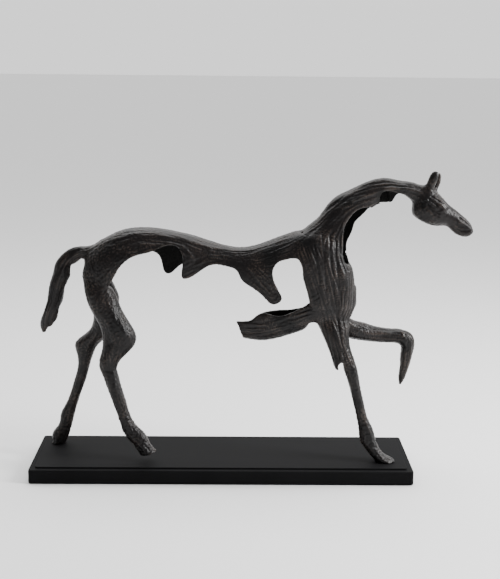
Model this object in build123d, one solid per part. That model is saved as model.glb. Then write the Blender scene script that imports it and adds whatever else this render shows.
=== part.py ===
from build123d import *
import os
from math import copysign, cos, hypot, pi, sin

# Bronze horse on a plinth. Millimetres. +X is the way the horse faces, +Z is up,
# -Y is the near side. The origin is the centre of the felt underside.

# ---- driving dimensions: plinth ----
BASE_LENGTH = 483.0
BASE_DEPTH = 138.0
SLAB_THICKNESS = 17.0
STEP_HEIGHT = 2.0
STEP_INSET = 7.5
CORNER_RADIUS = 4.0
EDGE_RADIUS = 1.5
FELT_THICKNESS = 1.0
FELT_INSET = 2.0

# ---- driving dimensions: M6 fixings through the plinth ----
STUD_DIAMETER = 6.0
STUD_CLEARANCE = 6.6
COUNTERBORE_DIAMETER = 18.0
COUNTERBORE_DEPTH = 11.0
WASHER_OUTER = 12.0
WASHER_BORE = 6.4
WASHER_THICKNESS = 1.6
SPRING_WASHER_OUTER = 11.8
SPRING_WASHER_GAP = 1.5
NUT_ACROSS_FLATS = 10.0
NUT_THICKNESS = 5.0
STUD_PROUD_OF_NUT = 1.0
HIND_STUD = {"x": -215.0, "y": 32.5, "into_hoof": 12.0}
FRONT_STUD = {"x": 202.5, "y": -33.5, "into_hoof": 8.5}

# ---- driving dimensions: bronze ----
WALL = 4.0
QUARTER_STEPS = 3
LIMB_SQUARENESS = 2.2
BODY_SQUARENESS = 2.6

# The horse is drawn about its own middle plane, with its standing soles at SOLE_Z, and
# is then moved to its place on the plinth, a little to the near side of the middle.
SOLE_Z = 21.0
SLAB_TOP = FELT_THICKNESS + SLAB_THICKNESS
PLINTH_TOP = SLAB_TOP + STEP_HEIGHT
HORSE_PLACE = Pos(0, -6.5, PLINTH_TOP - SOLE_Z)

# ---- heights and seams that the castings share, in the horse's own drawing ----
HIND_SEAM_Z = 246.0
FRONT_SEAM_Z = 200.0
WAIST_SEAM_X = -58.0
WITHERS_SEAM_X = 88.0
BELLY_SEAM_X = 110.0
NECK_SEAM = ((96.0, 315.0), (158.0, 272.0))
POLL_SEAM = ((243.0, 372.8), (233.0, 353.0))
THROAT_REACH = 6.0
NECK_HOLLOW_SHIFT = -2.0
FAR_OUT = 400.0


# A rung is one oval section of a casting: the two outline points that it joins in the
# side view, (x, z) and (x, z), then its middle in Y and its width in Y.

def ring(rung, squareness):
    """Oval face across a casting at one rung, drawn as four quarter curves."""
    (ax, az), (bx, bz), middle_y, width = rung
    half_length = hypot(bx - ax, bz - az) / 2
    centre = Vector((ax + bx) / 2, middle_y, (az + bz) / 2)
    along = Vector(bx - ax, 0, bz - az).normalized()
    across = Vector(0, 1, 0)
    power = 2 / squareness
    tangents = [across, -along, -across, along, across]
    quarters = []
    for quarter in range(4):
        points = []
        for step in range(QUARTER_STEPS + 1):
            turn = pi / 2 * (quarter + step / QUARTER_STEPS)
            u = copysign(abs(cos(turn)) ** power, cos(turn))
            v = copysign(abs(sin(turn)) ** power, sin(turn))
            points.append(centre + along * (half_length * u) + across * (width / 2 * v))
        ends = [tangents[quarter], tangents[quarter + 1]]
        quarters.append(Edge.make_spline(points, tangents=ends))
    return Face(Wire(quarters))


def limb(rungs, squareness=LIMB_SQUARENESS):
    """Smooth solid through a run of rungs."""
    return loft([ring(rung, squareness) for rung in rungs])


def inset(rung, first, second):
    """The same rung moved in by `first` and `second` at its two outline points."""
    (ax, az), (bx, bz), middle_y, width = rung
    length = hypot(bx - ax, bz - az)
    ux = (bx - ax) / length
    uz = (bz - az) / length
    inner_a = (ax + ux * first, az + uz * first)
    inner_b = (bx - ux * second, bz - uz * second)
    return (inner_a, inner_b, middle_y, width - 2 * WALL)


def longer(rung, reach):
    """The same rung carried past its second outline point."""
    (ax, az), (bx, bz), middle_y, width = rung
    length = hypot(bx - ax, bz - az)
    return ((ax, az), (bx + (bx - ax) / length * reach, bz + (bz - az) / length * reach), middle_y, width)


def side_cut(points, low_y, high_y, smooth=True):
    """Solid whose side view is a closed outline. The last three points are square corners."""
    if smooth:
        edge = Spline(*[(x, 0, z) for x, z in points[:-3]])
        rest = Polyline(*[(x, 0, z) for x, z in points[-4:] + points[:1]])
        face = make_face(edge.edges() + rest.edges())
    else:
        face = make_face(Polyline(*[(x, 0, z) for x, z in points + points[:1]]).edges())
    solid = extrude(face, amount=high_y - low_y, dir=(0, 1, 0))
    return Pos(0, low_y, 0) * solid


def both_sides(points, smooth=True):
    return side_cut(points, -FAR_OUT, FAR_OUT, smooth)


def slice_x(solid, low_x, high_x):
    """The part of a solid between two cross planes."""
    corners = [(low_x, -FAR_OUT), (high_x, -FAR_OUT), (high_x, FAR_OUT * 2), (low_x, FAR_OUT * 2)]
    return solid & both_sides(corners, smooth=False)


# ---- plinth ----

def counterbores(diameter, low_z, high_z):
    holes = []
    for stud in (HIND_STUD, FRONT_STUD):
        middle_z = (low_z + high_z) / 2
        holes.append(Pos(stud["x"], stud["y"], middle_z) * Cylinder(diameter / 2, high_z - low_z))
    return holes


def base_slab():
    slab = Pos(0, 0, FELT_THICKNESS + SLAB_THICKNESS / 2) * Box(BASE_LENGTH, BASE_DEPTH, SLAB_THICKNESS)
    slab = fillet(slab.edges().filter_by(Axis.Z), CORNER_RADIUS)
    slab = fillet(slab.faces().sort_by(Axis.Z)[-1].edges(), EDGE_RADIUS)
    step_length = BASE_LENGTH - 2 * STEP_INSET
    step_depth = BASE_DEPTH - 2 * STEP_INSET
    step = Pos(0, 0, SLAB_TOP + STEP_HEIGHT / 2) * Box(step_length, step_depth, STEP_HEIGHT)
    step = fillet(step.edges().filter_by(Axis.Z), CORNER_RADIUS)
    step = fillet(step.faces().sort_by(Axis.Z)[-1].edges(), EDGE_RADIUS / 2)
    plinth = slab + step
    for hole in counterbores(STUD_CLEARANCE, 0, PLINTH_TOP + 1):
        plinth = plinth - hole
    for hole in counterbores(COUNTERBORE_DIAMETER, 0, FELT_THICKNESS + COUNTERBORE_DEPTH):
        plinth = plinth - hole
    return plinth


def felt_sheet():
    length = BASE_LENGTH - 2 * FELT_INSET
    depth = BASE_DEPTH - 2 * FELT_INSET
    sheet = Pos(0, 0, FELT_THICKNESS / 2) * Box(length, depth, FELT_THICKNESS)
    return fillet(sheet.edges().filter_by(Axis.Z), CORNER_RADIUS)


# ---- fixings: stud, plain washer, spring washer and nut under each standing hoof ----

WASHER_TOP = FELT_THICKNESS + COUNTERBORE_DEPTH
SPRING_TOP = WASHER_TOP - WASHER_THICKNESS
NUT_TOP = SPRING_TOP - WASHER_THICKNESS
STUD_END = NUT_TOP - NUT_THICKNESS - STUD_PROUD_OF_NUT


def stud_solid(stud):
    top = PLINTH_TOP + stud["into_hoof"]
    length = top - STUD_END
    return Pos(stud["x"], stud["y"], STUD_END + length / 2) * Cylinder(STUD_DIAMETER / 2, length)


def washer(stud):
    ring_solid = Cylinder(WASHER_OUTER / 2, WASHER_THICKNESS) - Cylinder(WASHER_BORE / 2, WASHER_THICKNESS)
    return Pos(stud["x"], stud["y"], WASHER_TOP - WASHER_THICKNESS / 2) * ring_solid


def spring_washer(stud):
    ring_solid = Cylinder(SPRING_WASHER_OUTER / 2, WASHER_THICKNESS)
    ring_solid = ring_solid - Cylinder(WASHER_BORE / 2, WASHER_THICKNESS)
    gap_box = Box(SPRING_WASHER_OUTER, SPRING_WASHER_GAP, 2 * WASHER_THICKNESS)
    gap = Pos(SPRING_WASHER_OUTER / 2, 0, 0) * gap_box
    return Pos(stud["x"], stud["y"], SPRING_TOP - WASHER_THICKNESS / 2) * (ring_solid - gap)


def nut(stud):
    hexagon = RegularPolygon(NUT_ACROSS_FLATS / 2, 6, major_radius=False)
    body = extrude(hexagon, amount=NUT_THICKNESS) - extrude(Circle(STUD_DIAMETER / 2), amount=NUT_THICKNESS)
    return Pos(stud["x"], stud["y"], NUT_TOP - NUT_THICKNESS) * body


# ---- torso: one hollow barrel, torn open below, cast in three lengths ----

TORSO_RUNGS = [
    ((-175.8, 234), (-175.8, 262), 0, 18),
    ((-171.5, 219), (-171.5, 279), 0, 36),
    ((-163, 206), (-163, 293), 0, 47),
    ((-150, 204), (-150, 301.5), 0, 55),
    ((-130, 206), (-130, 311.5), 0, 60),
    ((-100, 215), (-100, 316.4), 0, 60),
    ((-65, 222), (-65, 313), 0, 54),
    ((-30, 222), (-30, 304.6), 0, 47),
    ((0, 212), (0, 295.3), 0, 46),
    ((30, 200), (30, 292.4), 0, 50),
    ((60, 192), (60, 301.5), 0, 56),
    ((90, 188), (90, 313.5), 0, 60),
    ((118, 188), (118, 322), 0, 62),
    ((140, 190), (140, 312), 0, 57),
    ((155, 195), (155, 293), 0, 47),
    ((163, 204), (163, 264), 0, 34),
    ((168.6, 220), (168.6, 243), 0, 16),
]

# Lower torn edge of the near wall, left to right, then the corners that close it below.
NEAR_EDGE = [
    (-136, 246), (-134.5, 255), (-122, 276.5), (-102, 287), (-88, 290.5), (-76, 295.5),
    (-60, 297), (-52, 290), (-49.5, 275.5), (-48.7, 256.2), (-38, 258.8), (-25.8, 267.2),
    (-13.6, 273.4), (4, 271.8), (18, 266), (23, 256.5), (37, 245.5), (54, 231.5), (62, 225.2),
    (73.5, 231.5), (70.5, 241), (64, 254), (62.5, 268.6), (68.5, 278), (80, 282), (92, 282),
    (98, 274), (99.8, 262), (104, 245), (107.5, 232), (110, 200), (110, 150), (-136, 150),
    (-136, 200),
]
# The far wall carries a second, longer drip behind the waist and a wider window.
FAR_EDGE = [
    (-136, 246), (-134.5, 255), (-122, 274), (-102, 282), (-90, 282), (-83, 278.5),
    (-78.3, 269), (-72, 253.5), (-63, 256.8), (-54.7, 264.6), (-40, 270), (-20, 271),
    (4, 269), (20, 262), (37, 244), (52, 236), (60, 248), (62, 262), (70, 274), (88, 277),
    (101, 268), (103, 252), (109, 232), (110, 200), (110, 150), (-136, 150), (-136, 200),
]


def torso_shell():
    outer = limb(TORSO_RUNGS, BODY_SQUARENESS)
    first_x = TORSO_RUNGS[0][0][0]
    last_x = TORSO_RUNGS[-1][0][0]
    middle_x = (first_x + last_x) / 2
    shrink = 1 - 2 * WALL / (last_x - first_x)
    hollow_rungs = []
    for rung in TORSO_RUNGS:
        (ax, az), (bx, bz), middle_y, width = inset(rung, WALL, WALL)
        x = middle_x + (ax - middle_x) * shrink
        hollow_rungs.append(((x, az), (x, bz), middle_y, width))
    shell = outer - limb(hollow_rungs, BODY_SQUARENESS)
    shell = shell - side_cut(NEAR_EDGE, -FAR_OUT, 0)
    shell = shell - side_cut(FAR_EDGE, 0, FAR_OUT)
    below_hind = [(-FAR_OUT, 0), (-130, 0), (-130, HIND_SEAM_Z), (-FAR_OUT, HIND_SEAM_Z)]
    front_x = BELLY_SEAM_X - 5
    below_front = [(front_x, 0), (FAR_OUT, 0), (FAR_OUT, FRONT_SEAM_Z), (front_x, FRONT_SEAM_Z)]
    shell = shell - both_sides(below_hind, smooth=False)
    shell = shell - both_sides(below_front, smooth=False)
    return shell - above_neck_seam()


def above_neck_seam():
    """Everything on the neck's side of the seam between chest and neck."""
    (ax, az), (bx, bz) = NECK_SEAM
    reach = 1.0
    left = (ax - (bx - ax) * reach, az - (bz - az) * reach)
    right = (bx + (bx - ax) * reach, bz + (bz - az) * reach)
    return both_sides([left, right, (right[0], FAR_OUT), (left[0], FAR_OUT * 1.5)], smooth=False)


def back_shell(torso):
    return slice_x(torso, -FAR_OUT, WAIST_SEAM_X)


def barrel_shell(torso):
    return slice_x(torso, WAIST_SEAM_X, WITHERS_SEAM_X)


def chest_shell(torso):
    return slice_x(torso, WITHERS_SEAM_X, FAR_OUT)


# ---- belly: a broken half pipe, open above, between the window and the forelegs ----

BELLY_RUNGS = [
    ((18, 179), (18, 212), -1, 35),
    ((35, 175.4), (35, 220), -1, 41),
    ((64, 176), (64, 224), -1, 44),
    ((85, 182), (85, 228), 0, 48),
    ((100, 187.5), (100, 234), 0, 51),
    ((BELLY_SEAM_X, 191.5), (BELLY_SEAM_X, 240), 0, 53),
]
BELLY_END = [(29.5, 170), (24.5, 183), (22, 190), (19.3, 198), (0, 198), (0, 160), (29.5, 160)]
NEAR_LIP = [
    (15, 200.5), (29, 201.5), (36, 203), (44, 209.7), (51, 212.4), (62, 210), (75, 209),
    (85, 212.8), (98, 219.5), (111, 229), (111, 260), (15, 260), (15, 230),
]
FAR_LIP = [
    (15, 190), (34, 192), (44, 200), (62, 206.5), (85, 208), (98, 210), (111, 217),
    (111, 260), (15, 260), (15, 230),
]


def belly_shell():
    outer = limb(BELLY_RUNGS, BODY_SQUARENESS)
    hollow = limb([inset(rung, WALL, -WALL) for rung in BELLY_RUNGS], BODY_SQUARENESS)
    pipe = outer - hollow
    pipe = pipe - side_cut(NEAR_LIP, -FAR_OUT, 0)
    pipe = pipe - side_cut(FAR_LIP, 0, FAR_OUT)
    return pipe - both_sides(BELLY_END)


# ---- neck: a channel, open along the throat ----

NECK_RUNGS = [
    (NECK_SEAM[0], NECK_SEAM[1], 0, 56),
    ((108, 321), (156, 292), 0, 48),
    ((119, 330.5), (160, 309), 0, 40),
    ((129, 345), (166, 328), 0, 35),
    ((140, 356.6), (177, 337), 0, 31),
    ((158, 366), (189, 347), 0, 28),
    ((180, 376.6), (199, 349), 0, 26),
    ((202.5, 380.8), (208, 350), 0, 25),
    ((225, 377.4), (219, 360), -1, 24),
    (POLL_SEAM[0], POLL_SEAM[1], -1, 24),
]
# The throat's outline, right to left, and the near wall's lip behind it.
THROAT_LINE = [
    (236.5, 350.5), (231, 356), (222, 362), (216, 359.5), (211, 352), (203, 349.5),
    (192.6, 347.5), (183, 342.5), (173.8, 333), (166, 325), (162, 312), (157, 299.5),
    (156, 288), (158, 277), (162, 266), (168, 256), (175, 240), (300, 240), (300, 349),
]
THROAT_LIP = [
    (187, 343.5), (164.5, 341), (157, 333), (151, 322), (148.5, 307), (149.5, 291), (152, 277),
    (160, 262), (190, 262), (200, 300), (195, 338),
]
THROAT_POCKET = [
    (223, 361), (212, 365), (199, 364), (197, 357), (200, 346), (212, 340), (223, 350), (225, 356),
]


def neck_shell():
    outer = limb([longer(rung, THROAT_REACH) for rung in NECK_RUNGS])
    hollow_rungs = []
    for rung in NECK_RUNGS[:-2]:
        crest, throat, middle_y, width = inset(rung, WALL, -WALL)
        hollow_rungs.append((crest, throat, middle_y + NECK_HOLLOW_SHIFT, width))
    neck = outer - limb(hollow_rungs)
    neck = neck - both_sides(THROAT_LINE)
    neck = neck - side_cut(THROAT_LIP, -FAR_OUT, 0)
    return neck - side_cut(THROAT_POCKET, -FAR_OUT, 0)


# ---- head and ears ----

HEAD_RUNGS = [
    (POLL_SEAM[0], POLL_SEAM[1], -1, 24),
    ((256, 371), (236.3, 345), -1, 28),
    ((265, 365), (237.5, 335.5), -2, 32),
    ((272, 358), (246, 328.8), -3, 33),
    ((279, 350), (258, 323.5), -4, 30),
    ((287, 344), (270, 322.6), -5, 25),
    ((295, 338), (279.5, 321.7), -6, 21),
    ((302.5, 332), (286.5, 316), -7, 19),
    ((308, 326), (294, 311), -8, 18),
    ((310.8, 320.2), (301.8, 309.3), -9, 16),
    ((312, 316.3), (308, 311.5), -9, 9),
]
NEAR_EAR_RUNGS = [
    ((248, 366), (261, 362), -9, 10),
    ((250.3, 374), (262, 371), -9, 10),
    ((252.3, 380.3), (264.5, 378.5), -9, 9),
    ((255.8, 386.8), (266.3, 385.5), -9, 6.5),
    ((260, 391), (265.3, 390), -9, 3),
]
FAR_EAR_RUNGS = [
    ((260, 366), (268, 362), 6, 10),
    ((262, 372), (270, 370), 6, 9),
    ((264.5, 377), (271.3, 376), 6, 7.5),
    ((267, 382.5), (271.8, 382), 6, 5),
    ((268.8, 387), (270.8, 386.6), 6, 2.5),
]


def ear(rungs, head):
    return limb(rungs) - head


# ---- tail ----

TAIL_RUNGS = [
    ((-158, 294), (-166, 271), 0, 22),
    ((-171, 292.8), (-174, 277.5), 0, 18),
    ((-182, 291.8), (-181, 273.8), 0, 16),
    ((-195.7, 286.3), (-186.5, 270.3), 0, 15),
    ((-206, 276.3), (-190.7, 268), 0, 15),
    ((-212, 261.3), (-192.3, 257), 0, 17),
    ((-215.8, 249), (-195.5, 247.3), 0, 18),
    ((-218, 236.5), (-199.8, 236), 0, 18),
    ((-221, 222), (-201.5, 224), 0, 18),
    ((-226.3, 207), (-206.6, 211), 0, 17),
    ((-229.5, 197.5), (-210, 199.8), 0, 14),
    ((-230.6, 188.5), (-218, 189.7), 0, 10),
    ((-228.3, 180.6), (-223.8, 182.3), 0, 4),
]


def tail(torso_outer):
    return limb(TAIL_RUNGS) - torso_outer


# ---- legs ----

NEAR_HIND_RUNGS = [
    ((-175, HIND_SEAM_Z), (-136, HIND_SEAM_Z), -14.5, 27),
    ((-171.3, 233), (-133, 233), -16, 29),
    ((-166.5, 220), (-128.5, 221), -17, 29),
    ((-159, 205.5), (-120.7, 205.5), -18.5, 29),
    ((-151, 187), (-108.5, 183), -20, 28),
    ((-149.8, 173), (-109.8, 172), -20.5, 26),
    ((-152.5, 158), (-120.8, 159), -21, 23),
    ((-155.2, 145), (-131.5, 146), -21.5, 20),
    ((-150.6, 131.5), (-131, 132), -22, 18),
    ((-144, 113.5), (-126.4, 113.5), -23, 17),
    ((-138, 96), (-121, 96), -23.5, 16),
    ((-129.5, 72), (-113.2, 73), -24.5, 15.5),
    ((-125, 58.5), (-106.3, 64), -25, 16),
    ((-119, 49), (-98.5, 56.3), -25.5, 17),
    ((-110.8, 40), (-93, 47), -26, 18),
    ((-105.3, 31.5), (-88, 38), -26.5, 19),
    ((-101.5, 27.5), (-83.2, 33.5), -27, 20),
]
FAR_HIND_RUNGS = [
    ((-172, HIND_SEAM_Z), (-136, HIND_SEAM_Z), 14.5, 27),
    ((-168, 230), (-134, 230), 17, 29),
    ((-165.5, 212), (-134, 210), 20, 29),
    ((-166, 197), (-140, 188), 24, 28),
    ((-169.8, 181.5), (-149, 171), 28, 26),
    ((-180, 170.5), (-159, 161), 31, 23),
    ((-191.5, 158.5), (-166, 151), 33, 21),
    ((-190, 146), (-169.5, 142), 34, 19),
    ((-188.6, 130), (-173.6, 128.5), 35, 17),
    ((-193.6, 110), (-178.6, 111), 36, 16),
    ((-199.6, 90.6), (-186.2, 90), 37, 15),
    ((-206.3, 74.7), (-191.4, 74), 37.5, 15),
    ((-213, 61), (-195, 61), 38, 16),
    ((-214.8, 50), (-197.6, 50.5), 38, 16),
    ((-220.3, 41), (-200.6, 40), 38.5, 17.5),
    ((-225.2, 31), (-204, 30), 39, 19),
    ((-226, SOLE_Z), (-208.5, SOLE_Z), 39, 19),
]
SLEEVE_RUNGS = [
    ((116, FRONT_SEAM_Z), (161.5, FRONT_SEAM_Z), -14, 27),
    ((124.8, 188), (161, 186), -15.5, 27),
    ((130.2, 176), (161.3, 174), -17, 26),
    ((134.8, 164.5), (164, 162), -18.5, 24),
    ((139.2, 152), (167.4, 150), -20, 22),
    ((143.6, 140.5), (170.6, 139.5), -21, 20),
]
NEAR_FRONT_RUNGS = [
    ((148, 160), (163.5, 158), -20, 17),
    ((152.4, 143), (170.6, 141.5), -21, 18.5),
    ((157.6, 130), (172.9, 129), -22, 17.5),
    ((163, 112), (176.3, 112), -23, 16),
    ((168, 93), (180.7, 93), -24, 15),
    ((172, 76), (186, 76), -24.5, 15),
    ((174.8, 60), (193, 61.5), -25, 17),
    ((176.2, 48.5), (196.7, 48), -25.5, 17),
    ((181.6, 40), (202, 37.5), -26, 18),
    ((188, 32), (209.3, 29), -26.5, 20),
    ((194, 25), (220, 24), -27, 23),
    ((197.5, SOLE_Z), (221.5, SOLE_Z), -27, 24),
]
SLEEVE_NOTCH = [
    (154.3, 137), (153.6, 145), (151, 151.3), (148, 149.5), (146.6, 143), (146, 130), (150, 120), (155, 125),
]
FAR_FRONT_RUNGS = [
    ((160, FRONT_SEAM_Z), (125, FRONT_SEAM_Z), 14, 27),
    ((167, 197), (137, 182), 17, 27),
    ((176, 192.8), (155, 172.5), 20, 26),
    ((186, 189.3), (173, 169.3), 22, 25),
    ((198, 185.8), (195, 166.3), 24, 23),
    ((213, 183.5), (212, 165.3), 25, 22),
    ((229, 181.6), (226, 164), 25, 21),
    ((243, 177.4), (231, 160.8), 25, 20),
    ((248.6, 168.5), (232.8, 156.7), 25, 19),
    ((248.2, 156), (232.2, 149.8), 25, 18),
    ((246, 143.5), (231.2, 139.3), 25, 16),
    ((242.6, 130), (230, 128.3), 25, 14),
    ((239.5, 120), (229.7, 119), 25, 11),
    ((236.3, 112.8), (230.2, 112), 25, 7.5),
    ((234, 108.3), (231, 108), 25, 3.5),
]


def near_front_leg():
    leg = limb(SLEEVE_RUNGS) + limb(NEAR_FRONT_RUNGS)
    return leg - both_sides(SLEEVE_NOTCH)


def far_front_leg():
    above = [(0, FRONT_SEAM_Z), (FAR_OUT, FRONT_SEAM_Z), (FAR_OUT, FAR_OUT), (0, FAR_OUT)]
    return limb(FAR_FRONT_RUNGS) - both_sides(above, smooth=False)


def castings():
    """The horse's castings in its own drawing."""
    torso = torso_shell()
    torso_outer = limb(TORSO_RUNGS, BODY_SQUARENESS)
    head = limb(HEAD_RUNGS)
    near_ear = ear(NEAR_EAR_RUNGS, head)
    chest = chest_shell(torso)
    return {
        "back_shell": back_shell(torso),
        "barrel_shell": barrel_shell(torso),
        "chest_shell": chest,
        "belly_shell": belly_shell() - chest,
        "neck_shell": neck_shell(),
        "head": head,
        "near_ear": near_ear,
        "far_ear": ear(FAR_EAR_RUNGS, head) - near_ear,
        "tail": tail(torso_outer),
        "near_hind_leg": limb(NEAR_HIND_RUNGS),
        "far_hind_leg": limb(FAR_HIND_RUNGS),
        "near_front_leg": near_front_leg(),
        "far_front_leg": far_front_leg(),
    }


def main():
    os.makedirs("parts", exist_ok=True)
    parts = {name: HORSE_PLACE * shape for name, shape in castings().items()}
    parts["far_hind_leg"] = parts["far_hind_leg"] - stud_solid(HIND_STUD)
    parts["near_front_leg"] = parts["near_front_leg"] - stud_solid(FRONT_STUD)
    parts["base_slab"] = base_slab()
    parts["felt_sheet"] = felt_sheet()
    for end, stud in (("hind", HIND_STUD), ("front", FRONT_STUD)):
        parts[end + "_stud"] = stud_solid(stud)
        parts[end + "_washer"] = washer(stud)
        parts[end + "_spring_washer"] = spring_washer(stud)
        parts[end + "_nut"] = nut(stud)
    for name, shape in parts.items():
        export_step(shape, f"parts/{name}.step")


main()
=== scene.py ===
"""Striding bronze horse on a black plinth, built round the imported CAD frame."""
from math import cos, radians, sin

import bmesh
import bpy
import numpy as np
from mathutils import Matrix, Vector
from mathutils.kdtree import KDTree


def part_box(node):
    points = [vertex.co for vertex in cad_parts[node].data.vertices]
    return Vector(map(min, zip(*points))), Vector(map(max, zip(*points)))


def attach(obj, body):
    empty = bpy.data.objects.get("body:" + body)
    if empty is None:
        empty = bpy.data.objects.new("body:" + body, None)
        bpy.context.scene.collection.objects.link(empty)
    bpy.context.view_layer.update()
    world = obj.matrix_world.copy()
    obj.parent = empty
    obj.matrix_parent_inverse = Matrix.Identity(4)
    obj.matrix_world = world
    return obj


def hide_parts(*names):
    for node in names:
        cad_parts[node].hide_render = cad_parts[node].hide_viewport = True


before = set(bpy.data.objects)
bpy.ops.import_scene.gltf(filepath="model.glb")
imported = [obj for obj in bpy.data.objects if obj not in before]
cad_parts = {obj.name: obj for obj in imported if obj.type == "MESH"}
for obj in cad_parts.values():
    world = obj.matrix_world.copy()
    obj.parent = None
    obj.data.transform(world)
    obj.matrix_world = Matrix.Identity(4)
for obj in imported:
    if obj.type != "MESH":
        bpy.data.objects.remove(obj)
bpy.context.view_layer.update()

MM = 0.001
SEED = 417

CASTINGS = [
    "back_shell", "barrel_shell", "chest_shell", "belly_shell", "neck_shell", "head",
    "near_ear", "far_ear", "tail", "near_hind_leg", "far_hind_leg", "near_front_leg",
    "far_front_leg",
]
FIXINGS = ["stud", "washer", "spring_washer", "nut"]

# The horse's own drawing: x as in the frame, y from its middle plane, and z so that the
# seam on top of the hind legs lies at 246 mm. All lists of (x, z) below are in it.
HIND_SEAM = 246
MIDDLE_Y = (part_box("tail")[0].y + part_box("tail")[1].y) / 2
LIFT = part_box("near_hind_leg")[1].z - HIND_SEAM * MM
PLACE = np.array((0, MIDDLE_Y, LIFT))
WAIST_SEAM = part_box("back_shell")[1].x / MM
WITHERS_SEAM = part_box("barrel_shell")[1].x / MM
BELLY_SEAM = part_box("belly_shell")[1].x / MM
FRONT_SEAM = (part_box("near_front_leg")[1].z - LIFT) / MM

# ---- bronze surface ----

VOXEL = 0.95 * MM  # size of the skin's quads
SMOOTH_ROUNDS = 10
SMOOTH_IN = 0.5
SMOOTH_OUT = -0.52
SOLID_JOIN_ROUNDS = 130
SHELL_JOIN_ROUNDS = 10
JOIN_PULL = 0.8
FLOW_SOFTNESS = 3  # mm added to the distance to a flow line, so that its pull has a limit
WORKING_SOFTNESS = 5  # mm added in square to the distance to a place in WORKING
GROOVE_STEP = 2.6 * MM  # how far apart the grooves' values are averaged along the flow
GROOVE_ROUNDS = 14
COARSE_SHARE = 0.6
GRAIN_SHARE = 1.4
HOLLOW_CALM = 0.5  # how much shallower the grooves are inside the shells
# Rounds and strength of a blur, then of the wider average that is taken off.
FINE_SPOTS = ((2, 0.8), (8, 0.8))
COARSE_SPOTS = ((8, 0.8), (40, 0.8))
GRAIN_SPOTS = ((3, 0.7), (8, 0.8))
RIDGE_BLUR = (4, 0.7)  # rounds and strength


def drawing(points):
    """Frame positions in metres as the drawing's millimetres."""
    return (points - PLACE) / MM


# Lines in the side view that the carved grooves follow, in millimetres (x, z).
FLOW_LINES = {
    "tail": [(-226, 184), (-219, 212), (-207, 245), (-199, 268), (-185, 281), (-165, 285)],
    "back": [(-165, 280), (-140, 299), (-100, 308), (-60, 304), (-20, 290), (20, 283), (60, 291),
             (88, 303), (105, 322), (125, 345), (150, 358), (190, 366), (225, 370), (245, 363)],
    "near_hind": [(-95, 290), (-128, 276), (-152, 245), (-146, 215), (-128, 184), (-138, 150),
                  (-135, 110), (-115, 60), (-92, 36)],
    "far_hind": [(-152, 230), (-150, 200), (-178, 160), (-182, 130), (-202, 70), (-216, 25)],
    "barrel": [(-50, 262), (-20, 280), (10, 280), (35, 262), (60, 232)],
    "belly": [(25, 190), (60, 196), (90, 203), (112, 211)],
    "chest": [(100, 298), (112, 270), (125, 235), (138, 200), (150, 160), (165, 120), (185, 60), (210, 25)],
    "breast": [(150, 285), (158, 262), (161, 230), (156, 200)],
    "throat": [(152, 290), (154, 312), (170, 335), (200, 350)],
    "far_front": [(152, 192), (180, 180), (240, 172), (241, 150), (234, 112)],
    "head": [(247, 366), (258, 348), (276, 336), (310, 315)],
}


def bronze_skin():
    """All castings as one closed skin of small quads."""
    bm = bmesh.new()
    for name in CASTINGS:
        bm.from_mesh(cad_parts[name].data)
    mesh = bpy.data.meshes.new("skin_work")
    bm.to_mesh(mesh)
    bm.free()
    work = bpy.data.objects.new("skin_work", mesh)
    bpy.context.scene.collection.objects.link(work)
    remesh = work.modifiers.new("Remesh", "REMESH")
    remesh.mode = "VOXEL"
    remesh.voxel_size = VOXEL
    remesh.adaptivity = 0.0
    skin = bpy.data.meshes.new_from_object(work.evaluated_get(bpy.context.evaluated_depsgraph_get()))
    bpy.data.objects.remove(work)
    bpy.data.meshes.remove(mesh)
    return skin


def points_of(mesh):
    co = np.empty(len(mesh.vertices) * 3)
    mesh.vertices.foreach_get("co", co)
    return co.reshape(-1, 3)


def normals_of(mesh):
    vectors = np.empty(len(mesh.vertices) * 3)
    mesh.vertex_normals.foreach_get("vector", vectors)
    return vectors.reshape(-1, 3)


def set_points(mesh, points):
    mesh.vertices.foreach_set("co", points.astype(np.float32).ravel())
    mesh.update()


class Web:
    """Which points of the skin are joined by an edge, for averaging over neighbours."""

    def __init__(self, mesh):
        pairs = np.empty(len(mesh.edges) * 2, np.int64)
        mesh.edges.foreach_get("vertices", pairs)
        pairs = pairs.reshape(-1, 2)
        self.first = np.concatenate((pairs[:, 0], pairs[:, 1]))
        self.second = np.concatenate((pairs[:, 1], pairs[:, 0]))
        self.count = len(mesh.vertices)
        self.degree = np.bincount(self.first, minlength=self.count).astype(float)

    def mean(self, values):
        """Each point's neighbours' mean value."""
        if values.ndim == 1:
            return np.bincount(self.first, values[self.second], self.count) / self.degree
        return np.stack([self.mean(column) for column in values.T], axis=1)


def relax(web, points, rounds, strength):
    """Laplacian smoothing; strength is one number or one for each point."""
    for _ in range(rounds):
        points = points + strength * (web.mean(points) - points)
    return points


def smooth_skin(web, points):
    """Smooths the voxel steps without shrinking the thin parts."""
    for _ in range(SMOOTH_ROUNDS):
        points = relax(web, points, 1, SMOOTH_IN)
        points = relax(web, points, 1, SMOOTH_OUT)
    return points


def far_from_stretch(xz, start, end):
    """Each point's distance in the side view to one straight stretch."""
    a = np.array(start, float)
    ab = np.array(end, float) - a
    t = np.clip((xz - a) @ ab / (ab @ ab), 0, 1)
    return np.linalg.norm(xz - (a + t[:, None] * ab), axis=1)


def far_from_line(xz, line):
    """Each point's distance in the side view to a line of straight stretches."""
    return np.min([far_from_stretch(xz, *ends) for ends in zip(line, line[1:])], axis=0)


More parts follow.
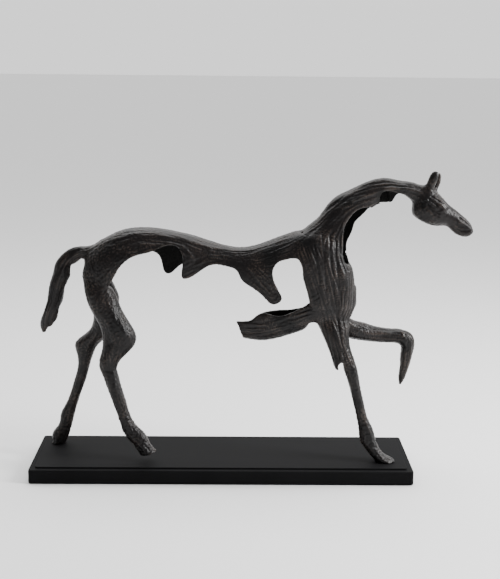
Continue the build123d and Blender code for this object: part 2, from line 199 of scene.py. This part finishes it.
def flow_direction(points, normals):
    """Unit vector along the carved grooves at each point, lying in the surface."""
    xz = drawing(points)[:, (0, 2)]
    spread = np.zeros((len(points), 3))
    for line in FLOW_LINES.values():
        for start, end in zip(line, line[1:]):
            run = np.array(end, float) - start
            along = run / np.linalg.norm(run)
            weight = 1 / (far_from_stretch(xz, start, end) + FLOW_SOFTNESS) ** 4
            spread[:, 0] += weight * along[0] * along[0]
            spread[:, 1] += weight * along[0] * along[1]
            spread[:, 2] += weight * along[1] * along[1]
    angle = 0.5 * np.arctan2(2 * spread[:, 1], spread[:, 0] - spread[:, 2])
    flow = np.stack((np.cos(angle), np.zeros(len(points)), np.sin(angle)), axis=1)
    flow -= (flow * normals).sum(1)[:, None] * normals
    return flow / (np.linalg.norm(flow, axis=1)[:, None] + 1e-9)


# How deep the surface is worked round each place of the side view (x, z): long fine grooves,
# long coarse grooves, and the pitted grain between them, each in millimetres.
WORKING = [
    (-215, 215, 0.28, 0.60, 0.07), (-190, 275, 0.20, 0.40, 0.07), (-160, 270, 0.10, 0.10, 0.16),
    (-125, 290, 0.08, 0.16, 0.12), (-80, 305, 0.12, 0.26, 0.06), (-60, 285, 0.07, 0.18, 0.06),
    (-140, 230, 0.07, 0.18, 0.10), (-120, 185, 0.08, 0.14, 0.09), (-130, 120, 0.09, 0.18, 0.09),
    (-105, 50, 0.10, 0.18, 0.16), (-175, 150, 0.08, 0.20, 0.08), (-205, 50, 0.08, 0.20, 0.10),
    (-20, 275, 0.14, 0.22, 0.06), (40, 255, 0.16, 0.20, 0.08), (55, 225, 0.16, 0.20, 0.08),
    (60, 200, 0.16, 0.20, 0.08), (115, 270, 0.22, 0.30, 0.07), (145, 265, 0.26, 0.34, 0.07),
    (130, 225, 0.24, 0.30, 0.07), (145, 170, 0.22, 0.26, 0.07), (165, 110, 0.10, 0.20, 0.10),
    (190, 50, 0.10, 0.16, 0.14), (200, 180, 0.16, 0.24, 0.08), (238, 150, 0.16, 0.24, 0.08),
    (130, 320, 0.16, 0.24, 0.07), (160, 350, 0.10, 0.20, 0.06), (200, 368, 0.08, 0.22, 0.05),
    (255, 350, 0.06, 0.10, 0.08), (280, 335, 0.05, 0.08, 0.05), (258, 385, 0.10, 0.12, 0.06),
]

# Marks cut or raised by hand on both sides: half width and height in millimetres, then (x, z).
MARKS = {
    "head": [
        (4.2, 2.4, [(269, 349.5), (273, 346)]),
        (1.6, 0.8, [(262, 358), (270, 353.5), (277, 346)]),
        (1.15, -1.0, [(249.6, 354), (257.6, 348), (265.6, 342.5)]),
        (1.15, -1.0, [(252, 350), (259, 344), (267, 339.5)]),
        (1.15, -1.0, [(254, 356.5), (262, 351), (269, 344.8)]),
        (1.1, -0.8, [(253.5, 346), (261, 339.5), (266.5, 336)]),
        (1.1, -0.8, [(257, 360), (264, 356), (270, 351)]),
        (1.6, 0.45, [(265, 363), (277.5, 351), (290.5, 339.5), (299, 331)]),
        (1.7, 1.0, [(293, 328.4), (297.3, 327), (303.7, 323.2), (307, 320)]),
        (1.3, -1.4, [(293.9, 333.6), (299.5, 329.5), (305.2, 324.8)]),
        (1.1, -0.6, [(290, 319.5), (298, 317.8), (306, 318.8)]),
        (2.6, 0.4, [(286, 318), (291.7, 314), (301, 313.5)]),
        (2.4, 0.5, [(270, 340), (278, 334), (286, 329.5)]),
        (3.0, 0.5, [(238, 346), (240, 338), (248, 331), (260, 328)]),
        (1.8, -0.6, [(246, 352), (247, 343), (253, 335)]),
    ],
    "chest bulge": [
        (9, 2.2, [(151, 262), (154, 243), (150, 224)]),
        (6, -0.9, [(139, 235), (142, 215)]),
    ],
    "hollows of the thigh": [
        (5, -1.0, [(-145, 200), (-140, 175)]),
        (7, -1.2, [(-97, 240), (-99, 226)]),
    ],
    "throat rim and crest": [
        (1.8, 1.1, [(160, 353), (171, 358.5), (183, 362), (193.5, 366), (204, 369), (216, 368.5),
                    (225, 369.5), (236, 367), (244.5, 364)]),
        (1.5, -0.6, [(127, 339.5), (153, 362), (179, 373), (200, 376.5), (225, 374.5), (243, 369.5)]),
        (1.4, -0.5, [(139, 345), (165, 364), (186, 370.5), (209, 373), (232, 370)]),
    ],
    "chest grooves": [
        (1.3, -0.7, [(114.4, 313), (113, 298), (118, 275), (121, 250)]),
        (1.3, -0.7, [(122.3, 314.5), (123.6, 296.5), (126, 275), (129, 245)]),
        (1.3, -0.7, [(132, 312.7), (132.5, 295), (135, 275), (139, 240)]),
        (1.3, -0.6, [(140, 305), (140, 285), (144, 255), (148, 225)]),
        (1.4, 0.6, [(148.6, 327), (146.6, 309), (148, 275)]),
    ],
    "thigh": [
        (2.6, 0.9, [(-138, 222), (-132, 203), (-121.5, 187)]),
        (2.0, 0.5, [(-128, 205), (-119, 188), (-112, 172)]),
    ],
    "buttock": [
        (3.0, 0.7, [(-165, 283), (-170.5, 261), (-165, 233), (-157, 210)]),
        (3.0, -0.6, [(-158, 275), (-160, 255), (-155, 232)]),
    ],
    "back": [
        (2.4, 0.8, [(-135, 303), (-110, 311), (-80, 310), (-50, 305), (-16, 293)]),
        (2.0, -0.6, [(-128, 296), (-100, 303), (-75, 302), (-52, 298)]),
    ],
    "torn curl": [
        (1.6, 0.8, [(-68, 300.5), (-51, 297), (-41, 288.5), (-36, 281)]),
        (1.2, -0.6, [(-62, 296.5), (-51, 292.5), (-44, 284)]),
    ],
    "hock and cannon": [
        (2.2, -0.7, [(-155, 148), (-148, 139), (-133, 139)]),
        (2.2, 0.6, [(-142, 130), (-132.5, 104), (-122.5, 78), (-112.5, 59)]),
    ],
    "hind fetlocks": [
        (1.2, -0.8, [(-117.5, 59), (-107.5, 56.5), (-100, 46)]),
        (1.2, -0.8, [(-112.5, 43), (-102.5, 38), (-95, 31)]),
        (1.1, -0.7, [(-108, 50), (-98, 44), (-90, 35)]),
        (1.2, -0.7, [(-206, 45), (-199, 41), (-196, 30)]),
    ],
    "fore fetlock": [
        (1.2, -0.7, [(195, 42), (206, 35.5), (215, 27), (222, 22)]),
        (1.2, -0.7, [(200, 29), (208.4, 26.7), (216, 23)]),
    ],
    "tail": [
        (1.3, -0.9, [(-221, 188), (-213, 214), (-203, 242), (-196, 264), (-184, 277), (-168, 284)]),
        (1.3, 0.8, [(-224, 196), (-218, 216), (-208, 244), (-201, 264), (-190, 279), (-174, 288)]),
        (1.2, -0.8, [(-214, 192), (-207, 212), (-199, 232), (-193, 252)]),
        (1.5, 0.7, [(-210, 196), (-203, 214), (-196, 234), (-191, 250)]),
    ],
    "near foreleg": [
        (1.1, -0.6, [(192, 50), (200, 46), (207, 40)]),
        (2.2, 0.6, [(164, 153), (170, 133), (176, 105), (183.5, 71.5), (193, 47)]),
        (1.4, -0.6, [(158, 150), (165, 125), (172, 95), (178, 72)]),
    ],
    "raised foreleg": [
        (2.0, 0.6, [(163, 193), (190, 189), (216, 186), (231, 180.5), (236, 170), (233, 140)]),
        (1.3, -0.7, [(170, 186), (196, 184), (220, 181.5)]),
        (1.2, -0.7, [(236, 160), (232, 138), (229, 122)]),
    ],
    "sleeve": [
        (1.1, -1.0, [(127, 206), (133, 180), (141, 152)]),
        (1.1, -1.0, [(135, 208), (141, 182), (147, 158)]),
        (1.1, -0.9, [(143, 210), (148, 184), (152, 164)]),
        (1.1, -0.8, [(151, 208), (154, 186), (158, 168)]),
    ],
}


def marks(xz):
    """Height in millimetres that the hand-cut marks give."""
    height = np.zeros(len(xz))
    for group in MARKS.values():
        for half_width, rise, line in group:
            height += rise * np.exp(-((far_from_line(xz, line) / half_width) ** 2))
    return height


def working(xz):
    """The depth of fine grooves, coarse grooves and grain at each point."""
    total = np.zeros((len(xz), 3))
    weights = np.zeros(len(xz))
    for x, z, fine, coarse, grain in WORKING:
        weight = 1 / ((xz[:, 0] - x) ** 2 + (xz[:, 1] - z) ** 2 + WORKING_SOFTNESS**2) ** 2
        total += weight[:, None] * np.array((fine, coarse, grain))
        weights += weight
    return (total / weights[:, None]).T


# The joins between castings that the founder filed smooth, and how far round them.
SOLID_JOINS = [
    (10, [(-175, 246), (-90, 246)]), (9, [(-163.5, 296), (-171.5, 268)]),
    (14, [(238, 378), (238, 368)]), (9, [(243, 370), (236, 356)]), (6, [(193, 352), (193, 362)]),
    (3, [(247, 375), (272, 364.5)]), (9, [(108, 200), (172, 200)]), (9, [(84, 301), (98, 317)]),
    (7, [(110, 188), (110, 212)]), (7, [(158, 190), (160, 165)]),
]
SHELL_JOINS = [(7, [(96, 315), (158, 272)]), (6, [(-58, 255), (-58, 312)]), (7, [(88, 262), (88, 312)])]


def join_mask(xz, joins):
    """1 on the joins, falling towards 0 beyond their reach."""
    mask = np.zeros(len(xz))
    for reach, line in joins:
        mask = np.maximum(mask, np.exp(-((far_from_line(xz, line) / reach) ** 2)))
    return mask


def standard(values):
    """The values with mean 0 and deviation 1."""
    return (values - values.mean()) / values.std()


def nearest_indices(tree, targets):
    return np.fromiter((tree.find(t)[1] for t in targets), np.int64, len(targets))


def speckle(web, draw, blur, wide):
    """Random spots of one size over the skin."""
    spots = relax(web, draw.standard_normal(web.count), *blur)
    return standard(spots - relax(web, spots, *wide))


def streaks(values, ahead, behind):
    """Values drawn out along the flow."""
    for _ in range(GROOVE_ROUNDS):
        values = (values + values[ahead] + values[behind]) / 3
    return standard(values)


def grooves(web, points, normals):
    """Random fine and coarse streaks along the flow, and a random grain between them."""
    flow = flow_direction(points, normals)
    tree = KDTree(len(points))
    for index, point in enumerate(points):
        tree.insert(point, index)
    tree.balance()
    ahead = nearest_indices(tree, points + flow * GROOVE_STEP)
    behind = nearest_indices(tree, points - flow * GROOVE_STEP)
    draw = np.random.default_rng(SEED)
    fine = streaks(speckle(web, draw, *FINE_SPOTS), ahead, behind)
    coarse = streaks(speckle(web, draw, *COARSE_SPOTS), ahead, behind)
    grain = speckle(web, draw, *GRAIN_SPOTS)
    return fine, coarse, grain


def bronze_relief(mesh):
    """Smooths and carves the skin, and marks its ridges for the patina and its hollows for the painted
    shade.
    """
    web = Web(mesh)
    points = smooth_skin(web, points_of(mesh))
    xz = drawing(points)[:, (0, 2)]
    points = relax(web, points, SOLID_JOIN_ROUNDS, JOIN_PULL * join_mask(xz, SOLID_JOINS)[:, None])
    points = relax(web, points, SHELL_JOIN_ROUNDS, JOIN_PULL * join_mask(xz, SHELL_JOINS)[:, None])
    set_points(mesh, points)
    normals = normals_of(mesh)
    place = drawing(points)
    xz = place[:, (0, 2)]
    hollow_shade = hollow_shade_mask(place, normals)
    fine, coarse, grain = grooves(web, points, normals)
    deep_fine, deep_coarse, deep_grain = working(xz)
    height = (deep_fine * fine + COARSE_SHARE * deep_coarse * coarse) * (1 - HOLLOW_CALM * hollow_shade)
    height += GRAIN_SHARE * deep_grain * grain + marks(xz) * (1 - hollow_shade)
    carved = points + normals * (height * MM)[:, None]
    set_points(mesh, carved)
    around = relax(web, carved, *RIDGE_BLUR)
    ridge = ((carved - around) * normals_of(mesh)).sum(1) / MM
    store(mesh, "ridge", ridge)
    store(mesh, "hollow_shade", hollow_shade)


# Where the shade inside the shells and the throat's pocket is painted, in the drawing's millimetres.
THROAT_HOLLOW = (206, 357)
THROAT_HOLLOW_SIZE = (16, 9)
THROAT_LIP_Y = -13  # the near lip of the throat lies nearer than this
TRUNK_BOTTOM = 205
TRUNK_FRONT = 232
TRUNK_BACK = (-105, -85)  # the shade painted in the trunk's hollow grows from nothing at the first to full at the second
BELLY_BOTTOM = 172
BELLY_ENDS = (10, 105)
INWARD_SHARPNESS = 1.6  # a wall counts in full once this times its normal's inward y reaches 1


def hollow_shade_mask(place, normals):
    """Where shade is painted: 1 on the walls inside the shells and in the throat's pocket, 0 on the
    outside.
    """
    x, y, z = place.T
    inward = np.clip(-normals[:, 1] * np.sign(y) * INWARD_SHARPNESS, 0, 1)
    fade = np.clip((x - TRUNK_BACK[0]) / (TRUNK_BACK[1] - TRUNK_BACK[0]), 0, 1)
    in_trunk = ((z > TRUNK_BOTTOM) & (x < TRUNK_FRONT)) * fade
    in_belly = (z > BELLY_BOTTOM) & (x > BELLY_ENDS[0]) & (x < BELLY_ENDS[1])
    across = (x - THROAT_HOLLOW[0]) / THROAT_HOLLOW_SIZE[0]
    down = (z - THROAT_HOLLOW[1]) / THROAT_HOLLOW_SIZE[1]
    throat = np.exp(-(across**4 + down**4)) * (y > THROAT_LIP_Y)
    return np.maximum(inward * np.maximum(in_trunk, in_belly), throat)


def store(mesh, name, values):
    layer = mesh.attributes.new(name, "FLOAT", "POINT")
    layer.data.foreach_set("value", values.astype(np.float32))


# ---- parting the skin into castings ----

NECK_SEAM = ((96, 315), (158, 272))
POLL_SEAM = ((243, 372.8), (233, 353))
TAIL_SEAM = ((-163.5, 294), (-171.5, 270))
EAR_SEAM = ((247, 375), (272, 364.5))
# Bounds of the castings in the drawing's millimetres; BELLY_RISE is a slope.
HIND_LEGS_FRONT = -90
TAIL_HANGS_BEHIND = -180
TAIL_TIP = 176
TAIL_ROOT_BOTTOM = 268
TAIL_ROOT_FRONT = -150
BELLY_BACK = 10
BELLY_TOP = 214
BELLY_RISES_FROM = 85
BELLY_RISE = 0.62
NECK_BACK = 80
HEAD_BACK = 225
EARS_FRONT = 275
BETWEEN_EARS_Y = -2


def left_of(xz, seam):
    """Which points lie to the left of the line from the seam's first point to its second."""
    (ax, az), (bx, bz) = seam
    return (bx - ax) * (xz[:, 1] - az) - (bz - az) * (xz[:, 0] - ax) > 0


def casting_of(centres):
    """The index in CASTINGS of each place, given in the drawing's millimetres."""
    x, y, z = centres.T
    xz = centres[:, (0, 2)]
    name = np.where(x < WITHERS_SEAM, "barrel_shell", "chest_shell").astype("U20")
    name[x < WAIST_SEAM] = "back_shell"
    hind = (x < HIND_LEGS_FRONT) & (z < HIND_SEAM)
    name[hind] = np.where(y[hind] < 0, "near_hind_leg", "far_hind_leg")
    name[(x < TAIL_HANGS_BEHIND) & (z > TAIL_TIP)] = "tail"
    name[~left_of(xz, TAIL_SEAM) & (z > TAIL_ROOT_BOTTOM) & (x < TAIL_ROOT_FRONT)] = "tail"
    front = (x > BELLY_SEAM) & (z < FRONT_SEAM)
    name[front] = np.where(y[front] < 0, "near_front_leg", "far_front_leg")
    belly_top = BELLY_TOP + np.maximum(0, BELLY_RISE * (x - BELLY_RISES_FROM))
    name[(x > BELLY_BACK) & (x < BELLY_SEAM) & (z < belly_top)] = "belly_shell"
    neck = left_of(xz, NECK_SEAM) & (x > NECK_BACK)
    name[neck] = "neck_shell"
    head = neck & left_of(xz, POLL_SEAM) & (x > HEAD_BACK)
    name[head] = "head"
    ear = head & left_of(xz, EAR_SEAM) & (x < EARS_FRONT)
    name[ear] = np.where(y[ear] < BETWEEN_EARS_Y, "near_ear", "far_ear")
    order = {casting: index for index, casting in enumerate(CASTINGS)}
    return np.array([order[n] for n in name])


def quads_of(mesh):
    corners = np.empty(len(mesh.loops), np.int64)
    mesh.loops.foreach_get("vertex_index", corners)
    return corners.reshape(-1, 4)


def values_of(mesh, name):
    values = np.empty(len(mesh.vertices), np.float32)
    mesh.attributes[name].data.foreach_get("value", values)
    return values


def close_cuts(mesh):
    """Caps the holes that the parting leaves, with flat faces and sharp rims."""
    bm = bmesh.new()
    bm.from_mesh(mesh)
    rims = [edge for edge in bm.edges if edge.is_boundary]
    caps = bmesh.ops.holes_fill(bm, edges=rims, sides=0)["faces"]
    for edge in rims:
        edge.smooth = False
    bmesh.ops.triangulate(bm, faces=caps)
    gaps = [edge for edge in bm.edges if edge.is_boundary]
    if gaps:
        bmesh.ops.triangle_fill(bm, edges=gaps, use_beauty=True)
    for face in bm.faces:
        face.smooth = len(face.verts) == 4
    bm.to_mesh(mesh)
    bm.free()


def part_castings(skin):
    """One closed piece for each casting, with shared rims so that no seam shows."""
    points = points_of(skin)
    quads = quads_of(skin)
    ridge = values_of(skin, "ridge")
    hollow_shade = values_of(skin, "hollow_shade")
    owner = casting_of(drawing(points[quads].mean(axis=1)))
    pieces = []
    for index, casting in enumerate(CASTINGS):
        chosen = quads[owner == index]
        used, local = np.unique(chosen, return_inverse=True)
        mesh = bpy.data.meshes.new("bronze_" + casting)
        mesh.from_pydata(points[used].tolist(), [], local.reshape(-1, 4).tolist())
        store(mesh, "ridge", ridge[used])
        store(mesh, "hollow_shade", hollow_shade[used])
        close_cuts(mesh)
        piece = bpy.data.objects.new("bronze_" + casting, mesh)
        bpy.context.scene.collection.objects.link(piece)
        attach(piece, "root")
        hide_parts(casting)
        pieces.append(piece)
    return pieces


skin = bronze_skin()
bronze_relief(skin)
bronze_pieces = part_castings(skin)
bpy.data.meshes.remove(skin)


# ---- materials ----

def new_material(name):
    material = bpy.data.materials.new(name)
    material.use_nodes = True
    nodes = material.node_tree.nodes
    return material, nodes, material.node_tree.links, nodes["Principled BSDF"]


def noise(nodes, links, scale, detail=2):
    """The value of a noise that is fixed to the object."""
    place = nodes.new("ShaderNodeTexCoord")
    texture = nodes.new("ShaderNodeTexNoise")
    texture.inputs["Scale"].default_value = scale
    texture.inputs["Detail"].default_value = detail
    links.new(place.outputs["Object"], texture.inputs["Vector"])
    return texture.outputs["Fac"]


def attribute(nodes, name):
    """A value stored with the skin's points."""
    layer = nodes.new("ShaderNodeAttribute")
    layer.attribute_name = name
    return layer.outputs["Fac"]


def ranged(nodes, links, value, given=(0, 1), wanted=(0, 1)):
    """The value moved from the given range to the wanted one."""
    node = nodes.new("ShaderNodeMapRange")
    node.inputs["From Min"].default_value, node.inputs["From Max"].default_value = given
    node.inputs["To Min"].default_value, node.inputs["To Max"].default_value = wanted
    links.new(value, node.inputs["Value"])
    return node.outputs["Result"]


def two_tones(nodes, links, value, dark, light, ends=(0, 1)):
    """A colour between dark and light, reached at the two ends of the value."""
    ramp = nodes.new("ShaderNodeValToRGB")
    for element, end, tone in zip(ramp.color_ramp.elements, ends, (dark, light)):
        element.position = end
        element.color = (*tone, 1)
    links.new(value, ramp.inputs["Fac"])
    return ramp.outputs["Color"]


def mixed(nodes, links, factor, first, second):
    """The first colour, turning to the fixed second as the factor grows."""
    mix = nodes.new("ShaderNodeMix")
    mix.data_type = "RGBA"
    mix.inputs["B"].default_value = (*second, 1)
    links.new(factor, mix.inputs["Factor"])
    links.new(first, mix.inputs["A"])
    return mix.outputs["Result"]


def calculated(nodes, links, operation, *values):
    """A sum done on linked or fixed values."""
    node = nodes.new("ShaderNodeMath")
    node.operation = operation
    for value, socket in zip(values, node.inputs):
        if isinstance(value, float):
            socket.default_value = value
        else:
            links.new(value, socket)
    return node.outputs[0]


def roughen(nodes, links, shader, height, distance, strength=1):
    """Relief too fine for the mesh, with its depth in metres."""
    bump = nodes.new("ShaderNodeBump")
    bump.inputs["Strength"].default_value = strength
    bump.inputs["Distance"].default_value = distance
    links.new(height, bump.inputs["Height"])
    links.new(bump.outputs["Normal"], shader.inputs["Normal"])


PATINA_DARK = (0.0032, 0.0029, 0.0030)
PATINA_BROWN = (0.0092, 0.0070, 0.0069)
RUBBED_BRONZE = (0.048, 0.037, 0.031)
# Painted shade: the colour laid on the walls inside the shells and in the throat's pocket, where the
# hollows lie in shade.
HOLLOW_PAINTED_SHADE = (0.0022, 0.0021, 0.0018)


def bronze_material():
    """Near-black patina, warmer and glossier on the rubbed ridges, with painted shade, darker and duller,
    inside the shells.
    """
    material, nodes, links, shader = new_material("dark bronze patina")
    patches = noise(nodes, links, scale=28, detail=5)
    patina = two_tones(nodes, links, patches, PATINA_DARK, PATINA_BROWN, ends=(0.35, 0.68))
    worn = ranged(nodes, links, attribute(nodes, "ridge"), given=(0.02, 0.13))
    patchy = ranged(nodes, links, noise(nodes, links, scale=55, detail=4), given=(0.42, 0.72))
    rubbed = calculated(nodes, links, "MULTIPLY", worn, patchy)
    hollow_shade = attribute(nodes, "hollow_shade")
    colour = mixed(nodes, links, rubbed, patina, RUBBED_BRONZE)
    # Painted shade inside the shells and in the throat's pocket.
    colour = mixed(nodes, links, hollow_shade, colour, HOLLOW_PAINTED_SHADE)
    links.new(colour, shader.inputs["Base Color"])
    gloss = ranged(nodes, links, rubbed, wanted=(0.40, 0.24))
    roughness = calculated(nodes, links, "MULTIPLY_ADD", hollow_shade, 0.5, gloss)
    links.new(roughness, shader.inputs["Roughness"])
    grain = noise(nodes, links, scale=900, detail=3)
    roughen(nodes, links, shader, grain, distance=0.4 * MM, strength=0.35)
    shader.inputs["Specular IOR Level"].default_value = 0.22
    return material


PAINT_DARK = (0.0054, 0.0054, 0.0057)
PAINT_LIGHT = (0.0078, 0.0078, 0.0083)


def plinth_material():
    """Satin black paint over board, faintly cloudy, with a fine grain."""
    material, nodes, links, shader = new_material("black satin paint")
    cloud = noise(nodes, links, scale=14, detail=6)
    paint = two_tones(nodes, links, cloud, PAINT_DARK, PAINT_LIGHT, ends=(0.3, 0.75))
    links.new(paint, shader.inputs["Base Color"])
    links.new(ranged(nodes, links, cloud, wanted=(0.62, 0.74)), shader.inputs["Roughness"])
    roughen(nodes, links, shader, noise(nodes, links, scale=700), distance=0.2 * MM, strength=0.15)
    shader.inputs["Specular IOR Level"].default_value = 0.04
    return material


def felt_material():
    """Black fibres, matt with a little sheen."""
    material, nodes, links, shader = new_material("black felt")
    fibre = noise(nodes, links, scale=1500, detail=6)
    tone = two_tones(nodes, links, fibre, (0.006, 0.006, 0.006), (0.03, 0.03, 0.03))
    links.new(tone, shader.inputs["Base Color"])
    roughen(nodes, links, shader, fibre, distance=0.5 * MM)
    shader.inputs["Roughness"].default_value = 0.95
    shader.inputs["Sheen Weight"].default_value = 0.3
    return material


def steel_material():
    """Zinc with the faint spangle of its plating."""
    material, nodes, links, shader = new_material("zinc plated steel")
    spangle = noise(nodes, links, scale=400)
    tone = two_tones(nodes, links, spangle, (0.45, 0.46, 0.48), (0.66, 0.67, 0.68))
    links.new(tone, shader.inputs["Base Color"])
    links.new(ranged(nodes, links, spangle, wanted=(0.28, 0.45)), shader.inputs["Roughness"])
    shader.inputs["Metallic"].default_value = 1.0
    return material


def floor_material():
    material, _, _, shader = new_material("pale floor")
    shader.inputs["Base Color"].default_value = (0.82, 0.82, 0.82, 1)
    shader.inputs["Roughness"].default_value = 0.9
    return material


def dress(node, material):
    """Gives a carried-over CAD node its material."""
    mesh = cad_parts[node].data
    mesh.materials.clear()
    mesh.materials.append(material)


bronze = bronze_material()
for piece in bronze_pieces:
    piece.data.materials.append(bronze)
dress("base_slab", plinth_material())
dress("felt_sheet", felt_material())
steel = steel_material()
for end in ("hind", "front"):
    for fixing in FIXINGS:
        dress(end + "_" + fixing, steel)


# ---- stage, light and camera ----

FLOOR_SIZE = 40


def floor():
    bpy.ops.mesh.primitive_plane_add(size=FLOOR_SIZE)
    plane = bpy.context.object
    plane.name = "floor"
    plane.data.materials.append(floor_material())


def soft_light(name, place, target, size, power):
    """A soft box at place, turned to target, with its power in watts."""
    data = bpy.data.lights.new(name, "AREA")
    data.shape = "RECTANGLE"
    data.size, data.size_y = size
    data.energy = power
    lamp = bpy.data.objects.new(name, data)
    bpy.context.scene.collection.objects.link(lamp)
    lamp.location = place
    lamp.rotation_euler = (Vector(target) - Vector(place)).to_track_quat("-Z", "Y").to_euler()


CAMERA_PLACE = Vector((12.4, -1487.3, 541.5)) * MM + Vector(PLACE)
CAMERA_PITCH = radians(11.52)
CAMERA_YAW = radians(0.854)
CAMERA_ROLL = radians(0.565)
CAMERA_LENS = 74.67
CAMERA_REACH = 50


def camera():
    """The photograph's viewpoint, as estimated."""
    data = bpy.data.cameras.new("camera")
    data.lens = CAMERA_LENS
    cam = bpy.data.objects.new("camera", data)
    bpy.context.scene.collection.objects.link(cam)
    level = cos(CAMERA_PITCH)
    forward = Vector((level * sin(CAMERA_YAW), level * cos(CAMERA_YAW), -sin(CAMERA_PITCH)))
    right = Vector((cos(CAMERA_YAW), -sin(CAMERA_YAW), 0))
    up = right.cross(forward)
    rolled_right = right * cos(CAMERA_ROLL) + up * sin(CAMERA_ROLL)
    rolled_up = up * cos(CAMERA_ROLL) - right * sin(CAMERA_ROLL)
    turn = Matrix((rolled_right, rolled_up, -forward)).transposed()
    cam.matrix_world = Matrix.Translation(CAMERA_PLACE) @ turn.to_4x4()
    data.clip_end = CAMERA_REACH
    bpy.context.scene.camera = cam


def sky():
    """A bright studio wall behind the horse and a dimmer room before it, brighter overhead."""
    world = bpy.data.worlds.new("studio")
    world.use_nodes = True
    nodes = world.node_tree.nodes
    links = world.node_tree.links
    direction = nodes.new("ShaderNodeTexCoord")
    split = nodes.new("ShaderNodeSeparateXYZ")
    links.new(direction.outputs["Generated"], split.inputs[0])
    behind = ranged(nodes, links, split.outputs["Y"], given=(-0.5, 0.6), wanted=(0.2, 2.1))
    behind.node.interpolation_type = "SMOOTHSTEP"
    overhead = ranged(nodes, links, split.outputs["Z"], given=(0.03, 0.4), wanted=(0.62, 1.1))
    strength = calculated(nodes, links, "MULTIPLY", behind, overhead)
    nodes["Background"].inputs["Color"].default_value = (1, 1, 1, 1)
    links.new(strength, nodes["Background"].inputs["Strength"])
    bpy.context.scene.world = world


floor()
soft_light("top", place=(0.1, 0.35, 1.5), target=(0, 0, 0.2), size=(1.6, 0.8), power=20)
soft_light("right", place=(1.4, -0.35, 0.9), target=(0.1, 0, 0.2), size=(0.4, 0.8), power=44)
camera()
sky()
